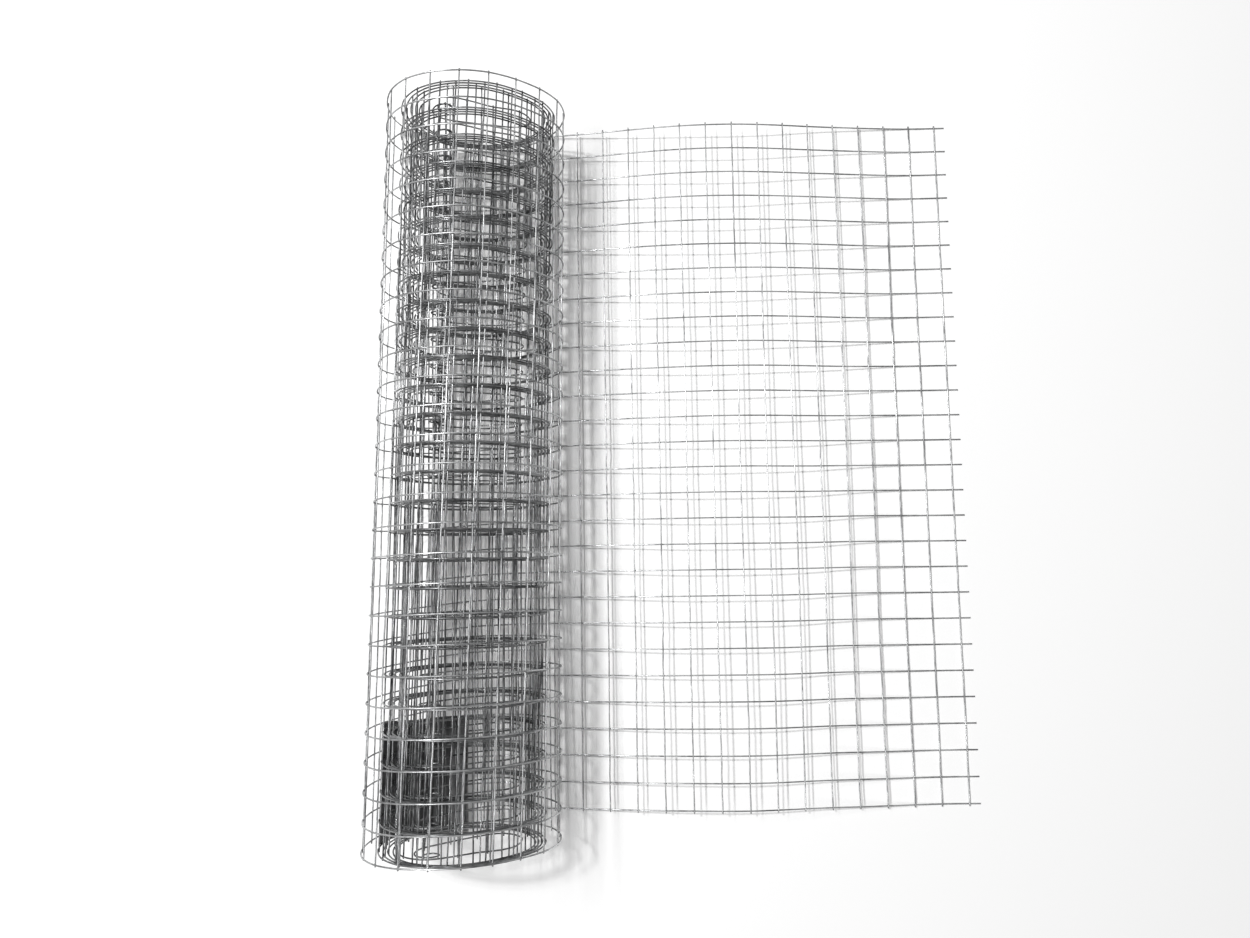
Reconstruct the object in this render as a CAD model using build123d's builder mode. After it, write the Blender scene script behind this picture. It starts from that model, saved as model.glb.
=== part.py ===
"""Roll of welded wire fencing that lies on its side with its free end unrolled.

The sheet is galvanised steel wire welded into squares. It is wound into a roll
about an axis along Y, and the last stretch leaves from under the roll along +X
and arches a little before its cut edge touches the ground again.

Units are millimetres. Z is up and the ground is at Z = 0. The origin is the
middle of the whole object's footprint.
"""
from build123d import *
from math import atan2, degrees, pi, sin, sqrt
import os

# Welded sheet: line wires along its length, cross wires on top of them
wire = 1.2
line_spacing = 19.05
cross_spacing = 20.0
squares_across = 27
cross_wire_overhang = 1.5

# Wound roll
roll_radius = 62.0
tight_turns_radius = 54.5
tight_turns = 6
turn_valley_depth = 2.4
slack_gap_depth = 96.0

# Free end of the sheet. Its stations are counted in squares along X from the
# roll's axis, and it is straight between one bend and the next.
first_cross_wire = -0.25
tail_cross_wires = 19
tail_split_after = 9
tail_start = -0.5
tail_stub = 8.0
arch_height = 15.5
arch_start = 0.55
arch_end = 17.35
bends = (0.25, 4.25, 7.25, 11.25, 14.25, 17.25)

# Card tucked under the slack outer turn at one end
card_height = 83.0
card_thickness = 0.6
card_first_angle = 178.0
card_last_angle = 264.0

# Worked out from the sizes above
stack = 2 * wire
bore_radius = tight_turns_radius - tight_turns * stack
sheet_width = squares_across * line_spacing + 2 * cross_wire_overhang
tail_end = first_cross_wire + tail_cross_wires - 1 + tail_stub / cross_spacing
roll_x = (roll_radius - tail_end * cross_spacing) / 2
seat_edge = -first_cross_wire * cross_spacing - wire / 2
roll_z = stack + sqrt(roll_radius**2 - seat_edge**2)
line_wire_rows = [(row - squares_across / 2) * line_spacing for row in range(squares_across + 1)]
kinks = (tail_start, *bends, tail_end)


def along_tail(station):
    """X of a place this many squares from the roll's axis."""
    return roll_x + station * cross_spacing


def arch(station):
    """Height of the smooth arch that the bends lie on."""
    share = (station - arch_start) / (arch_end - arch_start)
    return arch_height * sin(pi * share) ** 2 if 0 < share < 1 else 0.0


def seat(station):
    """Top of the line wires at a station, with the slope of the stretch that it is in."""
    low, high = next(pair for pair in zip(kinks, kinks[1:]) if pair[0] <= station <= pair[1])
    share = (station - low) / (high - low)
    height = (1 - share) * arch(low) + share * arch(high) + wire
    slope = degrees(atan2(arch(high) - arch(low), (high - low) * cross_spacing))
    return Location((along_tail(station), 0, height), (0, -slope, 0))


def welded_mesh(start, end, cross_wires):
    """Square bars of one stretch of the sheet, fused where the cross wires lie on the line wires."""
    stations = [start, *(bend for bend in bends if start < bend < end), end]
    topside = [(seat(station).position.X, seat(station).position.Z) for station in stations]
    underside = [(x, z - wire) for x, z in reversed(topside)]
    with BuildPart() as mesh:
        with BuildSketch(*[Plane.XZ.offset(row) for row in line_wire_rows]):
            with BuildLine():
                Polyline(*topside, *underside, close=True)
            make_face()
        extrude(amount=wire / 2, both=True)
        with Locations(*[seat(first_cross_wire + number) for number in cross_wires]):
            Box(wire, sheet_width, wire, align=(Align.CENTER, Align.CENTER, Align.MIN))
    return mesh


# The wound turns: one body of revolution, open through the middle. The outer turn
# is slack, so a deep gap at each end lies inside it, and a valley marks where one
# tight turn lies against the next.
roll_axis = Axis((roll_x, 0, roll_z), (0, 1, 0))
with BuildPart() as wound_roll:
    with BuildSketch(Plane(origin=roll_axis.position, x_dir=(0, 1, 0), z_dir=(1, 0, 0))):
        with Locations((0, bore_radius)):
            Rectangle(sheet_width, roll_radius - bore_radius, align=(Align.CENTER, Align.MIN))
        for end in (-sheet_width / 2, sheet_width / 2):
            with Locations((end, tight_turns_radius)):
                Rectangle(
                    2 * slack_gap_depth,
                    roll_radius - stack - tight_turns_radius,
                    align=(Align.CENTER, Align.MIN),
                    mode=Mode.SUBTRACT,
                )
            for turn in range(1, tight_turns):
                with Locations((end, bore_radius + turn * stack)):
                    Polygon(
                        (0, -stack / 2),
                        (turn_valley_depth, 0),
                        (0, stack / 2),
                        (-turn_valley_depth, 0),
                        align=None,
                        mode=Mode.SUBTRACT,
                    )
    revolve(axis=roll_axis)
wound_roll.part.label = "wound_roll"

# The unrolled stretch, in two lengths that meet halfway between two cross wires.
tail_split = first_cross_wire + tail_split_after - 0.5
tail_by_roll = welded_mesh(tail_start, tail_split, range(tail_split_after))
tail_by_roll.part.label = "tail_by_roll"
tail_free_end = welded_mesh(tail_split, tail_end, range(tail_split_after, tail_cross_wires))
tail_free_end.part.label = "tail_free_end"

# The card: thin sheet curved round the tight turns low on one side, flush with the
# roll's end.
with BuildPart() as label_card:
    with BuildSketch(Plane.XZ.offset(sheet_width / 2)):
        with BuildLine():
            card_arc = card_last_angle - card_first_angle
            centre = (roll_x, roll_z)
            inside = CenterArc(centre, tight_turns_radius, card_first_angle, card_arc)
            outer_radius = tight_turns_radius + card_thickness
            outside = CenterArc(centre, outer_radius, card_first_angle, card_arc)
            Line(inside @ 0, outside @ 0)
            Line(inside @ 1, outside @ 1)
        make_face()
    extrude(amount=-card_height)
label_card.part.label = "label_card"

os.makedirs("parts", exist_ok=True)
for piece in (wound_roll, tail_by_roll, tail_free_end, label_card):
    export_step(piece.part, f"parts/{piece.part.label}.step")
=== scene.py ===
"""Roll of welded wire fencing that lies on its side with its free end unrolled, as it looks."""
import bpy
import numpy as np
from mathutils import Matrix, Vector


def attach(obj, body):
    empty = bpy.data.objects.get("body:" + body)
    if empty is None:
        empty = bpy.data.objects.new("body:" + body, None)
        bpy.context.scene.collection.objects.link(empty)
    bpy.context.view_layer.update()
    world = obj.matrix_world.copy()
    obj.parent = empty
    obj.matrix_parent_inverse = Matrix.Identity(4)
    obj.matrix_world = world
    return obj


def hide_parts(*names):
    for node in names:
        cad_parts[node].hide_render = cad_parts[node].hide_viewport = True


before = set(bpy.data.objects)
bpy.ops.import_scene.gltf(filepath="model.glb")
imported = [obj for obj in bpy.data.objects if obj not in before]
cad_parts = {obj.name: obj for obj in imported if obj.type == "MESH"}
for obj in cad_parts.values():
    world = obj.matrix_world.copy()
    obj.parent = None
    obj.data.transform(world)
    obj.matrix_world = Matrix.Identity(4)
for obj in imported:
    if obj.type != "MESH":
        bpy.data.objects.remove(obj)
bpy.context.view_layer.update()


# Camera: a short lens held over the roll and turned a few degrees, so that both ends of the roll
# and the whole free end are seen from above. Its place is in metres.
camera_place = (-0.0254, -0.0866, 0.697)
camera_turn = Vector((6.382, 1.404, -0.912)) * (np.pi / 180)
camera = bpy.data.objects.new("camera", bpy.data.cameras.new("camera"))
camera.data.sensor_width = 36.0
camera.data.lens = 26.5
camera.data.clip_start = 0.05
camera.data.clip_end = 50.0
camera.matrix_world = (Matrix.Translation(camera_place)
                       @ Matrix.Rotation(camera_turn.length, 4, camera_turn.normalized()))
bpy.context.collection.objects.link(camera)
bpy.context.scene.camera = camera


# The sheet: one length of welded mesh in wire about 1 mm thick, machine made and then galvanised.
# It comes off the floor in a low arch, goes round in one slack turn and winds into a tight pack. Its
# innermost turn sags, and its end springs across the bore and curls. Sizes are in millimetres.
wire_radius = 0.52
line_spacing = 19.05
line_wire_count = 28
cross_spacing = 20.0
cross_wire_count = 116
cross_overhang = 1.5
cut_end = 8.0
roll_x = -150.5

# A place along the sheet is s, from the roll's lowest line on and negative on the free end. A place
# across it is y, and near goes from 0 at the roll's far end to 1 at its near end.
squares_before_roll = 17.75
cross_wire_s = (np.arange(cross_wire_count) - squares_before_roll) * cross_spacing
line_wire_y = (np.arange(line_wire_count) - (line_wire_count - 1) / 2) * line_spacing
sheet_first_s = cross_wire_s[0] - cut_end
sheet_last_s = cross_wire_s[-1] + cut_end
sheet_width = 2 * (cross_overhang - line_wire_y[0])

# The arch stands between two places on the free end, counted in squares from the lowest line.
arch_height = 15.5
arch_start = 0.55
arch_end = 17.35

# Radii at eighth turns, clockwise from the bottom: the slack turn's at both ends, the next turn's
# with what each turn after it is smaller by, and the sagging turn's. An axis is its distance to the
# right of the lowest line and its height.
slack_turn_far = (57.3, 59.0, 61.7, 63.3, 56.3, 55.7, 64.6, 62.3)
slack_turn_near = (60.0, 61.5, 64.2, 65.3, 61.5, 59.9, 66.4, 64.6)
second_turn = np.array([54.1, 55.1, 55.6, 54.4, 49.6, 48.4, 55.0, 54.5])
turn_steps = np.array([2.5, 2.8, 3.3, 2.85, 2.55, 2.55, 2.35, 2.35])
tight_turn_count = 4
sagging_turn = (44.4, 44.4, 43.5, 39.8, 22.5, 20.0, 36.1, 43.5, 42.0, 42.0)
slack_axis_far = (4.1, 57.9)
slack_axis_near = (-3.0, 60.6)
pack_axis_far = (6.5, 56.8)
pack_axis_near = (-2.2, 58.9)

# The sheet's end leaves the sagging turn after so many quarter turns, bends sharply, runs almost
# straight across the bore, hooks round and curls.
leaves_at_far = 22.95
leaves_at_near = 23.2
bend_far = (12.0, 27.0)
bend_near = (16.0, 32.0)
leaving_radius = 45
crossing_radius = 400
hook_radius = 13
curl_radius = 5.6
spiral_points = 12000
end_step = 0.2
end_points = 1199

# Where the sheet's wires stand further along than a true winding would put them: by its start on
# the roll, by a gain towards the inside at the near end, and by a slip at the top of each turn.
start_shift_far = 4.6
start_shift_near = 5.0
near_gain = 20.0
gain_range = (300.0, 1500.0)
turn_tops = (190.0, 545.0, 872.0, 1183.0, 1477.0, 1740.0)
slip_far = (0.0, 0.0, -3.2, 0.0, -3.8, -3.0)
slip_near = (0.0, 0.6, -4.3, -6.3, -0.9, 0.9)

# The turns creep along the roll, by a table with one step each 47 mm that starts on the free end,
# and by a little more inside.
creep_spacing = 47.0
creep_lead = 2
creep_steps = np.array([0.0, -0.2, -1.7, -5.9, -8.4, -7.6, -6.0, -5.9, -7.1, -7.8, -8.5, -9.3, -9.4])
inner_creep = 0.8
inner_creep_range = (420.0, 1500.0)

# The mesh bends most at its welds, so this share of each stretch between them lies on its chord.
chord_share = 0.2


def ease(value, start, end):
    """Goes from 0 at start to 1 at end on the curve 3t^2 - 2t^3, and stays level outside them."""
    t = np.clip((value - start) / (end - start), 0.0, 1.0)
    return t * t * (3 - 2 * t)


def through(table, place):
    """Value of a table at a place counted in its steps: a cubic through each four neighbours."""
    place = np.clip(place, 0.0, len(table) - 1.001)
    low = np.floor(place).astype(int)
    t = place - low
    padded = np.concatenate([table[:1], table, table[-1:]])
    a, b, c, d = (padded[low + k] for k in range(4))
    return b + 0.5 * t * (c - a + t * (2 * a - 5 * b + 4 * c - d + t * (3 * (b - c) + d - a)))


def wound_section(slack_turn, slack_axis, pack_axis, leaves_at, bend):
    """Arc length, x and z of the wound part at one end of the roll, from the roll's lowest line on.

    A spiral with its radii given at eighth turns runs bottom, left, top, right, at
    x = -r sin(angle) and z = -r cos(angle). Its axis goes over from the slack turn's to the
    pack's. From leaves_at quarter turns on, the sheet's end is drawn by its curvature, which
    goes over from each radius to the next, with bend's radius and length for the sharp bend.
    """
    tight_turns = [second_turn - turn * turn_steps for turn in range(tight_turn_count)]
    radii = np.concatenate([slack_turn, *tight_turns, sagging_turn])
    quarters = np.linspace(0.0, leaves_at, spiral_points)
    radius = through(radii, quarters * 2)
    angle = quarters * np.pi / 2
    packed = ease(quarters, 3.0, 4.5)
    x = slack_axis[0] + (pack_axis[0] - slack_axis[0]) * packed - radius * np.sin(angle)
    z = slack_axis[1] + (pack_axis[1] - slack_axis[1]) * packed - radius * np.cos(angle)
    bend_radius, bend_length = bend
    on = np.arange(1, end_points + 1) * end_step
    past = on - bend_length
    curvature = (1 / leaving_radius
                 + ease(on, 0, 6) * (1 / bend_radius - 1 / leaving_radius)
                 - ease(past, 0, 8) * (1 / bend_radius - 1 / crossing_radius)
                 + ease(past, 48, 58) * (1 / hook_radius - 1 / crossing_radius)
                 + ease(past, 78, 90) * (1 / curl_radius - 1 / hook_radius))
    heading = np.arctan2(z[-1] - z[-2], x[-1] - x[-2]) - np.cumsum(curvature) * end_step
    x = np.concatenate([x, x[-1] + np.cumsum(np.cos(heading)) * end_step])
    z = np.concatenate([z, z[-1] + np.cumsum(np.sin(heading)) * end_step])
    return np.concatenate([[0.0], np.cumsum(np.hypot(np.diff(x), np.diff(z)))]), x, z


far_section = wound_section(slack_turn_far, slack_axis_far, pack_axis_far, leaves_at_far, bend_far)
near_section = wound_section(slack_turn_near, slack_axis_near, pack_axis_near, leaves_at_near, bend_near)


def smooth_section(s, near):
    """x and z of the line wires' middle at s along the sheet.

    The free end is level but for an arch of sine squared. The roll's far and near ends have
    sections of their own, and near is the share from the far one to the near one.
    """
    station = -s / cross_spacing
    rolled = 1 - ease(station, -3.0, 4.0)
    share = (station - arch_start) / (arch_end - arch_start)
    arch = arch_height * np.sin(np.pi * np.clip(share, 0, 1)) ** 2
    start_shift = start_shift_far + (start_shift_near - start_shift_far) * near
    gain = near_gain * near * ease(s, *gain_range)
    slip = np.interp(s, turn_tops, slip_far) * (1 - near) + np.interp(s, turn_tops, slip_near) * near
    along = s + rolled * start_shift + gain + slip
    axis_x = (slack_axis_far[0] + (slack_axis_near[0] - slack_axis_far[0]) * near) * rolled
    far_x, far_z, near_x, near_z = (np.interp(along, section[0], section[k])
                                    for section in (far_section, near_section) for k in (1, 2))
    x = np.where(along > 0, far_x + (near_x - far_x) * near, axis_x - along)
    z = np.where(along > 0, far_z + (near_z - far_z) * near, wire_radius)
    return roll_x + x, z + arch


def sheet_section(s, near):
    """The smooth section with part of each stretch of the roll taken towards its chord."""
    place = (s - cross_wire_s[0]) / cross_spacing
    low = cross_wire_s[0] + np.floor(place) * cross_spacing
    part = place - np.floor(place)
    x, z = smooth_section(s, near)
    low_x, low_z = smooth_section(low, near)
    high_x, high_z = smooth_section(low + cross_spacing, near)
    flat = np.where(low > 0, chord_share, 0.0)
    x = x + (low_x + (high_x - low_x) * part - x) * flat
    z = z + (low_z + (high_z - low_z) * part - z) * flat
    return x, z


# Seven long waves of about half a millimetre keep the sheet from lying true. Each has a length
# along the sheet and one across it, and a phase for each of the three directions.
wave_count = 7
shortest_waves = (90, 160)
longest_waves = (260, 520)
sideways_sway = 0.5
roll_lift_sway = 0.12
free_lift_sway = 1.3
sway = np.random.default_rng(7)
sway_lengths = sway.uniform([shortest_waves] * wave_count, [longest_waves] * wave_count)
sway_phases = sway.uniform(0, 2 * np.pi, (wave_count, 3))
tangent_reach = 0.6


def sheet_place(s, y, above):
    """Points of the sheet at s along it and y across it, lifted by above to the roll's inside.

    The lift goes along the section's normal, which is its direction between two near points
    turned by a right angle. To this are added the creep along the roll and the mean of the waves.
    """
    near = 0.5 - y / sheet_width
    ahead = sheet_section(s + tangent_reach, near)
    behind = sheet_section(s - tangent_reach, near)
    tangent = np.stack([ahead[0] - behind[0], ahead[1] - behind[1]])
    tangent = tangent / np.hypot(*tangent)
    x, z = sheet_section(s, near)
    wave = np.mean([np.sin(2 * np.pi * (s / length[0] + y / length[1])[..., None] + phase)
                    for length, phase in zip(sway_lengths, sway_phases)], axis=0)
    station = -s / cross_spacing
    share = np.clip((station - arch_start) / (arch_end - arch_start), 0, 1)
    free = ease(station, 0.5, 6.0)
    off_floor = ease(np.minimum(share, 1 - share), 0.0, 0.3)
    lift = above + wave[..., 0] * (roll_lift_sway + free_lift_sway * free * off_floor)
    creep = through(creep_steps, s / creep_spacing + creep_lead) - inner_creep * ease(s, *inner_creep_range)
    return np.stack([x + tangent[1] * lift + wave[..., 1] * sideways_sway * free,
                     y + creep + wave[..., 2] * sideways_sway,
                     z - tangent[0] * lift], axis=-1)


# Line wires: 28 long drawn wires that run the length of the sheet, under the cross wires on the
# free end and on the outside of the roll. Each stretch of the sheet is a piece of its own.
millimetre = 0.001
wire_sides = 8
points_per_square = 4
curl_length = 108
curl_spacing = 1.4
place_shift = 7.0


def face_mesh(name, corners, faces):
    """Makes a smooth-shaded object from corners in millimetres and rows of four corner numbers."""
    mesh = bpy.data.meshes.new(name)
    mesh.vertices.add(len(corners))
    mesh.vertices.foreach_set("co", (corners * millimetre).astype(np.float32).ravel())
    mesh.loops.add(faces.size)
    mesh.loops.foreach_set("vertex_index", faces.astype(np.int32).ravel())
    mesh.polygons.add(len(faces))
    mesh.polygons.foreach_set("loop_start", np.arange(0, faces.size, 4, dtype=np.int32))
    mesh.update(calc_edges=True)
    mesh.validate()
    mesh.shade_smooth()
    piece = bpy.data.objects.new(name, mesh)
    bpy.context.collection.objects.link(piece)
    return piece


def surface_place(piece, layer_name, places):
    """Writes one vector for each corner, which the piece's material reads as its place."""
    layer = piece.data.attributes.new(layer_name, "FLOAT_VECTOR", "POINT")
    layer.data.foreach_set("vector", places.astype(np.float32).ravel())


def tube_faces(index):
    """Rows of four corner numbers for tubes whose corners are numbered tubes by rings by sides.

    The walls join each ring to the next, and flat quads close the first and the last ring.
    """
    sides = index.shape[2]
    after = np.roll(index, -1, axis=2)
    walls = np.stack([index[:, :-1], after[:, :-1], after[:, 1:], index[:, 1:]], axis=-1)
    cap = np.array([[k, sides - 1 - k, sides - 2 - k, k + 1] for k in range(sides // 2 - 1)])
    start_caps = index[:, 0][:, cap]
    end_caps = index[:, -1][:, cap[:, ::-1]]
    return np.concatenate([part.reshape(-1, 4) for part in (walls, start_caps, end_caps)])


def wire_mesh(name, centres):
    """Makes one mesh of many wires: centres is wires by points by xyz, in millimetres.

    Each ring has its points at centre + radius (cos f u + sin f v), where u is the wire's
    direction crossed with a fixed axis and v completes the frame. The attribute wire_place
    holds the length along each wire and the place round it, shifted from wire to wire.
    """
    wires, points = centres.shape[:2]
    along = np.gradient(centres, axis=1)
    along /= np.linalg.norm(along, axis=2, keepdims=True)
    sideways = np.where(np.abs(along[:, :1, 1:2]) > 0.7, [[[1.0, 0, 0]]], [[[0, 1.0, 0]]])
    u = np.cross(along, np.broadcast_to(sideways, along.shape))
    u /= np.linalg.norm(u, axis=2, keepdims=True)
    v = np.cross(along, u)
    turn = np.arange(wire_sides) * (2 * np.pi / wire_sides) + np.pi / wire_sides
    round_wire = np.cos(turn)[:, None] * u[:, :, None] + np.sin(turn)[:, None] * v[:, :, None]
    corners = centres[:, :, None] + wire_radius * round_wire
    index = np.arange(wires * points * wire_sides).reshape(wires, points, wire_sides)
    piece = face_mesh(name, corners.reshape(-1, 3), tube_faces(index))
    steps = np.diff(centres, axis=1, prepend=centres[:, :1])
    place = np.empty(corners.shape)
    place[..., 0] = np.cumsum(np.linalg.norm(steps, axis=2), axis=1)[:, :, None]
    place[..., 1] = wire_radius * np.cos(turn) + place_shift * np.arange(wires)[:, None, None]
    place[..., 2] = wire_radius * np.sin(turn)
    surface_place(piece, "wire_place", place * millimetre)
    return piece


class Graph:
    """Adds nodes to one material or world."""

    def __init__(self, owner):
        owner.use_nodes = True
        self.owner = owner
        self.tree = owner.node_tree
        self.shader = self.tree.nodes.get("Principled BSDF")

    def node(self, kind, settings=None, **sockets):
        """Adds a node of a type, sets its settings, then its sockets' values or links.

        A socket goes by its name, or by its number where names repeat, as in _0=value.
        """
        made = self.tree.nodes.new("ShaderNode" + kind)
        for key, value in (settings or {}).items():
            if key == "stops":
                ramp = made.color_ramp.elements
                for k, (position, colour) in enumerate(value):
                    stop = ramp[k] if k < 2 else ramp.new(position)
                    stop.position = position
                    stop.color = colour
            else:
                setattr(made, key, value)
        for key, value in sockets.items():
            number = key[1:]
            socket = made.inputs[int(number) if number.isdigit() else key.replace("_", " ")]
            self.feed(socket, value)
        return made

    def feed(self, socket, value):
        """Links a Value or a socket, or sets a number or a tuple."""
        if isinstance(value, Value):
            self.tree.links.new(value.socket, socket)
        elif isinstance(value, bpy.types.NodeSocket):
            self.tree.links.new(value, socket)
        else:
            socket.default_value = value

    def value(self, socket):
        """Wraps a socket so that it can be used in an expression."""
        return Value(self, socket)


class Value:
    """A shader socket that adds Math nodes when it is used in an expression."""

    def __init__(self, graph, socket):
        self.graph = graph
        self.socket = socket

    def maths(self, operation, a, b):
        made = self.graph.node("Math", {"operation": operation}, _0=a, _1=b)
        return Value(self.graph, made.outputs[0])

    def __add__(self, other):
        return self.maths("ADD", self, other)

    __radd__ = __add__

    def __mul__(self, other):
        return self.maths("MULTIPLY", self, other)

    __rmul__ = __mul__

    def __sub__(self, other):
        return self.maths("SUBTRACT", self, other)

    def __rsub__(self, other):
        return self.maths("SUBTRACT", other, self)

    def __gt__(self, other):
        return self.maths("GREATER_THAN", self, other)

    def __lt__(self, other):
        return self.maths("LESS_THAN", self, other)


def galvanised(name, dark, bright, roughness, stops=(0.38, 0.62)):
    """Zinc on drawn wire, from dark to bright over the two stops of its tone.

    The tone is half bright and dull lengths of wire, three tenths small mottles and two tenths
    a grey bloom over the roll. A low tone is rougher, and draw lines and mottles stand out.
    """
    graph = Graph(bpy.data.materials.new(name))
    place = graph.node("Attribute", {"attribute_name": "wire_place"}).outputs["Vector"]

    def noise(vector, scale, detail):
        made = graph.node("TexNoise", None, Vector=vector, Scale=scale, Detail=detail)
        return graph.value(made.outputs[0])

    def wire_noise(along, around, detail):
        mapped = graph.node("Mapping", None, Vector=place, Scale=(along, around, around))
        return noise(mapped.outputs[0], 1.0, detail)

    lengths = wire_noise(30.0, 420.0, 2.0)
    mottle = wire_noise(260.0, 700.0, 3.0)
    lines = wire_noise(60.0, 2400.0, 2.0)
    bloom = noise(graph.node("TexCoord").outputs["Object"], 24.0, 3.0)
    tone = lengths * 0.5 + mottle * 0.3 + bloom * 0.2
    colour_stops = [(stops[0], (*dark, 1)), (stops[1], (*bright, 1))]
    colour = graph.node("ValToRGB", {"stops": colour_stops}, Fac=tone)
    graph.feed(graph.shader.inputs["Base Color"], colour.outputs[0])
    uneven = roughness + (0.5 - tone) * 0.9 + (lines - 0.5) * 0.2
    graph.feed(graph.shader.inputs["Roughness"], uneven)
    graph.shader.inputs["Metallic"].default_value = 1.0
    bump = graph.node("Bump", None, Strength=0.25, Distance=0.0001, Height=lines * 0.6 + mottle)
    graph.feed(graph.shader.inputs["Normal"], bump.outputs[0])
    return graph.owner


# Four copies of one zinc, lit and shaded by painting: the free end's line wires in painted shade, darker
# than its cross wires.
line_wire_painted_shade_finish = galvanised("galvanised_line_wire_painted_shade", (0.11, 0.112, 0.115), (0.58, 0.585, 0.59), 0.34)
# The free end's cross wires in painted light, the brightest copy.
free_end_painted_light_finish = galvanised("galvanised_wire_painted_light", (0.16, 0.162, 0.165), (0.70, 0.705, 0.71), 0.36)
# The slack turn in painted shade, between the free end and the pack.
slack_turn_painted_shade_finish = galvanised("galvanised_wire", (0.12, 0.122, 0.125), (0.60, 0.605, 0.61), 0.40)
# The wound turns in painted shade, the darkest copy, for the shade inside the roll.
wound_painted_shade_finish = galvanised("galvanised_wire_painted_deep_shade", (0.05, 0.051, 0.053), (0.47, 0.475, 0.48), 0.38,
                          (0.40, 0.66))

# Each stretch goes from one cross wire up to another, with its line wires' finish and its cross wires'
# finish. The wound stretches are painted darker than the free end, as painted shade inside the roll.
stretches = {
    "free_end": (0, 18, line_wire_painted_shade_finish, free_end_painted_light_finish),
    "slack_turn": (18, 38, slack_turn_painted_shade_finish, slack_turn_painted_shade_finish),
    "second_turn": (38, 55, wound_painted_shade_finish, wound_painted_shade_finish),
    "tight_turns": (55, 98, wound_painted_shade_finish, wound_painted_shade_finish),
    "inner_end": (98, cross_wire_count, wound_painted_shade_finish, wound_painted_shade_finish),
}

for stretch, (first, last, line_finish, cross_finish) in stretches.items():
    last_square = min(last, cross_wire_count - 1)
    points = np.arange(first * points_per_square, last_square * points_per_square + 1)
    s = points / points_per_square * cross_spacing + cross_wire_s[0]
    if stretch == "free_end":
        s = np.concatenate([[sheet_first_s], s])
    if stretch == "inner_end":
        curl_s = np.arange(sheet_last_s - curl_length, sheet_last_s, curl_spacing)
        s = np.concatenate([s[s < curl_s[0]], curl_s, [sheet_last_s]])
    s_grid, y_grid = np.meshgrid(s, line_wire_y)
    line_wires = wire_mesh(stretch + "_line_wires", sheet_place(s_grid, y_grid, 0.0))
    line_wires.data.materials.append(line_finish)
    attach(line_wires, "root")
    if stretch == "free_end":
        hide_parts("tail_by_roll", "tail_free_end")
    else:
        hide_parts("wound_roll")


# Cross wires: straight wires the width of the sheet, laid over the line wires and pressed about
# a fifth of their thickness into them by the welder. They bow a hair between their welds.
wire_step = 0.85
bow_size = 0.14
square_points = np.linspace(0, 1, 4)[:-1]
cross_wire_y = np.concatenate([
    [line_wire_y[0] - cross_overhang],
    (line_wire_y[:-1, None] + square_points * line_spacing).ravel(),
    [line_wire_y[-1], line_wire_y[-1] + cross_overhang]])
bows = np.random.default_rng(11)
for stretch, (first, last, line_finish, cross_finish) in stretches.items():
    y_grid, s_grid = np.meshgrid(cross_wire_y, cross_wire_s[first:last])
    between = np.abs(np.sin(np.pi * (y_grid - line_wire_y[0]) / line_spacing))
    bow = bows.normal(0, bow_size, (last - first, line_wire_count + 1))
    bow = bow.repeat(len(square_points), axis=1)[:, :len(cross_wire_y)] * between
    cross_wires = wire_mesh(stretch + "_cross_wires", sheet_place(s_grid + bow, y_grid, wire_step))
    cross_wires.data.materials.append(cross_finish)
    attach(cross_wires, "root")
    if stretch == "free_end":
        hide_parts("tail_by_roll", "tail_free_end")
    else:
        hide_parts("wound_roll")


# Welds: at every crossing the welder fuses the two wires and leaves a small flattened bead of
# steel and zinc, dull where the coat burnt. A bead is three rings, each a height and a width.
bead_sides = 8
bead_rings = ((-0.5, 0.45), (0.0, 0.8), (0.5, 0.45))
weld_finish = galvanised("burnt_weld", (0.08, 0.08, 0.082), (0.30, 0.30, 0.304), 0.45)


def bead_mesh(name, places, normals, alongs):
    """Makes many beads: each ring's points lie at place + height n + width (cos f a + sin f b).

    Here n is the sheet's normal, a runs along the sheet and b is n crossed with a.
    """
    across = np.cross(normals, alongs)
    turn = np.arange(bead_sides) * (2 * np.pi / bead_sides)
    round_bead = np.cos(turn)[:, None] * alongs[:, None] + np.sin(turn)[:, None] * across[:, None]
    corners = np.stack([places[:, None] + normals[:, None] * height + width * round_bead
                        for height, width in bead_rings], axis=1)
    index = np.arange(corners.size // 3).reshape(corners.shape[:3])
    piece = face_mesh(name, corners.reshape(-1, 3), tube_faces(index))
    surface_place(piece, "wire_place", corners * millimetre)
    return piece


for stretch, (first, last, line_finish, cross_finish) in stretches.items():
    s_grid, y_grid = np.meshgrid(cross_wire_s[first:last], line_wire_y)
    s_flat = s_grid.ravel()
    y_flat = y_grid.ravel()
    low = sheet_place(s_flat, y_flat, 0.0)
    high = sheet_place(s_flat, y_flat, wire_step)
    up = (high - low) / wire_step
    side = sheet_place(s_flat + 0.5, y_flat, 0.0) - sheet_place(s_flat - 0.5, y_flat, 0.0)
    side -= (side * up).sum(axis=1, keepdims=True) * up
    side /= np.linalg.norm(side, axis=1, keepdims=True)
    welds = bead_mesh(stretch + "_welds", (low + high) / 2, up, side)
    welds.data.materials.append(weld_finish)
    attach(welds, "root")
    if stretch == "free_end":
        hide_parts("tail_by_roll", "tail_free_end")
    else:
        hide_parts("wound_roll")


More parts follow.
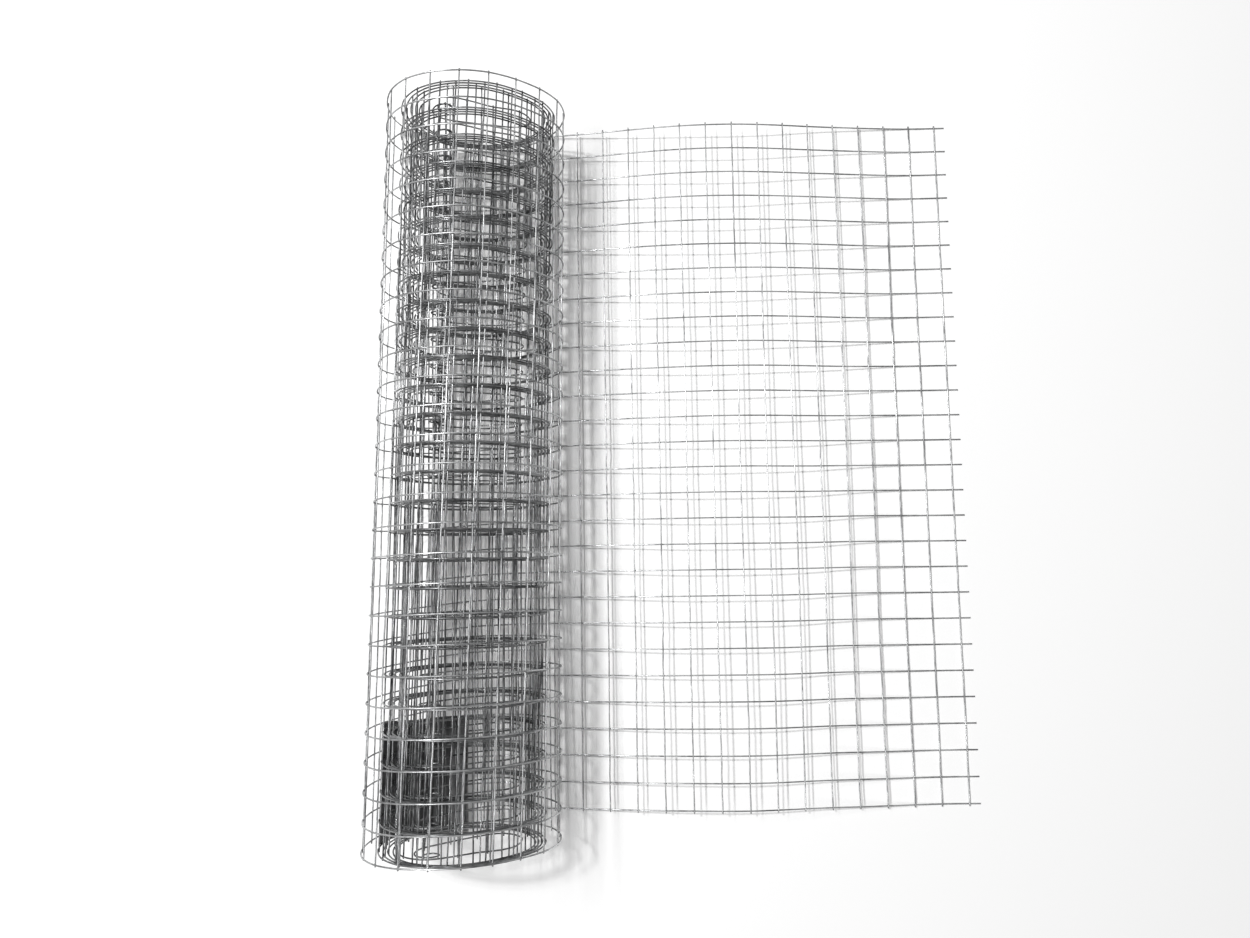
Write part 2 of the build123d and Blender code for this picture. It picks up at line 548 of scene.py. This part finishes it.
# Card: a matt black card slipped in between the slack turn and the tight turns at the near end,
# low on the left, so that it takes their curve. It sits askew and its edges are scuffed.
card_thickness = 0.4
card_width = 80.0
card_gap = 0.12
card_near_edge = -257.0
card_skew = -7.0
card_quarters = (5.02, 4.07)
card_columns = 49
card_rows = 33
spiral_quarters = np.linspace(0, leaves_at_near, spiral_points)
card_s = np.interp(np.linspace(*card_quarters, card_columns),
                   spiral_quarters, near_section[0][:spiral_points]) - start_shift_near
card_u = np.linspace(0, 1, card_columns)
card_v = np.linspace(0, 1, card_rows)
s_grid, v_grid = np.meshgrid(card_s, card_v)
y_grid = card_near_edge + ease(card_u, 0.0, 1.0) * card_skew + v_grid * card_width
card_corners = np.stack([sheet_place(s_grid, y_grid, -wire_radius - card_gap - depth)
                         for depth in (0.0, card_thickness)])
card_index = np.arange(2 * card_rows * card_columns).reshape(2, card_rows, card_columns)


def grid_faces(numbers):
    """Rows of four corner numbers over a grid of corner numbers."""
    return np.stack([numbers[:-1, :-1], numbers[1:, :-1],
                     numbers[1:, 1:], numbers[:-1, 1:]], -1).reshape(-1, 4)


card_faces = np.concatenate([
    grid_faces(card_index[0])[:, ::-1], grid_faces(card_index[1]),
    grid_faces(card_index[:, 0, :]), grid_faces(card_index[:, -1, :])[:, ::-1],
    grid_faces(card_index[:, :, 0])[:, ::-1], grid_faces(card_index[:, :, -1])])
card = face_mesh("card", card_corners.reshape(-1, 3), card_faces)
surface_place(card, "card_place", np.stack(np.broadcast_arrays(
    card_u[None, None, :], card_v[None, :, None], np.zeros((2, 1, 1))), axis=-1))
card.data.set_sharp_from_angle(angle=0.6)


def black_card():
    """Matt black board: paper fibre, rubbed patches, and paler scuffs along its cut edges.

    The ink goes from dark to rubbed with one noise. Where that noise is high, the strips beside
    the four edges, found from card_place, go six tenths of the way to bare board.
    """
    graph = Graph(bpy.data.materials.new("black_card"))
    place = graph.node("Attribute", {"attribute_name": "card_place"}).outputs["Vector"]
    parts = graph.node("SeparateXYZ", None, Vector=place).outputs
    u = graph.value(parts[0])
    v = graph.value(parts[1])
    where = graph.node("TexCoord").outputs["Object"]
    fibre = graph.value(graph.node("TexNoise", None, Vector=where, Scale=900.0, Detail=4.0).outputs[0])
    rub = graph.value(graph.node("TexNoise", None, Vector=where, Scale=120.0, Detail=4.0).outputs[0])
    edge = ((u < 0.012) + (u > 0.988) + (v < 0.01) + (v > 0.99)) * (rub > 0.5)
    ink_stops = [(0.3, (0.13, 0.13, 0.134, 1)), (0.75, (0.22, 0.22, 0.226, 1))]
    ink = graph.node("ValToRGB", {"stops": ink_stops}, Fac=rub)
    bare_board = (0.4, 0.39, 0.38, 1)
    colour = graph.node("Mix", {"data_type": "RGBA"}, _0=edge * 0.6, _6=ink.outputs[0], _7=bare_board)
    graph.feed(graph.shader.inputs["Base Color"], colour.outputs[2])
    graph.feed(graph.shader.inputs["Roughness"], 0.5 + rub * 0.25)
    bump = graph.node("Bump", None, Strength=0.15, Distance=0.0001, Height=fibre)
    graph.feed(graph.shader.inputs["Normal"], bump.outputs[0])
    return graph.owner


card.data.materials.append(black_card())
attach(card, "root")
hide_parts("label_card")


# Floor and light: a plain white floor in a pale room that shows white in the metal, and two small
# bright lamps up to the left, one behind and one long one beside the roll. They throw the roll's
# grey shadow to the right, and two thin lines beside each wire of the free end.
floor_reach = 9000.0
floor_glow = 0.17
room_light_strength = 0.09
room_shown_strength = 0.5
white = (1, 1, 1, 1)
seeing_rays = ("Is Camera Ray", "Is Glossy Ray", "Is Transmission Ray")


def shown_to_seeing_rays(graph, lighting, shown, output):
    """Gives shown to the rays that see a surface, and lighting to those that carry its light."""
    rays = graph.node("LightPath").outputs
    seen = sum(graph.value(rays[kind]) for kind in seeing_rays)
    pick = graph.node("MixShader", None, Fac=seen, _1=lighting, _2=shown)
    graph.feed(graph.tree.nodes[output].inputs["Surface"], pick.outputs[0])


floor_corners = np.array([[-1, -1, 0], [1, -1, 0], [1, 1, 0], [-1, 1, 0]]) * floor_reach
floor = face_mesh("floor", floor_corners, np.array([[0, 1, 2, 3]]))
paint = Graph(bpy.data.materials.new("white_floor"))
paint.shader.inputs["Base Color"].default_value = (0.9, 0.9, 0.9, 1)
paint.shader.inputs["Roughness"].default_value = 0.9
glow = paint.node("Emission", None, Color=white, Strength=floor_glow)
painted = paint.shader.outputs[0]
glowing = paint.node("AddShader", None, _0=painted, _1=glow.outputs[0])
shown_to_seeing_rays(paint, painted, glowing.outputs[0], "Material Output")
floor.data.materials.append(paint.owner)

room = Graph(bpy.data.worlds.new("pale_room"))
room_light = room.tree.nodes["Background"]
room_light.inputs["Color"].default_value = white
room_light.inputs["Strength"].default_value = room_light_strength
room_shown = room.node("Background", None, Color=white, Strength=room_shown_strength)
shown_to_seeing_rays(room, room_light.outputs[0], room_shown.outputs[0], "World Output")
bpy.context.scene.world = room.owner

# Each lamp's width, length, power in watts and place, in metres. It leans over to face the middle.
lamps = {
    "lamp": (0.14, 0.14, 30.0, (-0.8, 0.6, 2.3)),
    "long_lamp": (0.12, 3.0, 44.0, (-1.28, 0.1, 2.2)),
}
for lamp_name, (width, length, power, place) in lamps.items():
    lamp = bpy.data.objects.new(lamp_name, bpy.data.lights.new(lamp_name, "AREA"))
    lamp.data.shape = "RECTANGLE"
    lamp.data.size = width
    lamp.data.size_y = length
    lamp.data.energy = power
    lamp.location = place
    lamp.rotation_euler = (0.0, np.arctan2(place[0], place[2]), 0.0)
    bpy.context.collection.objects.link(lamp)

bpy.context.scene.view_settings.view_transform = "Standard"
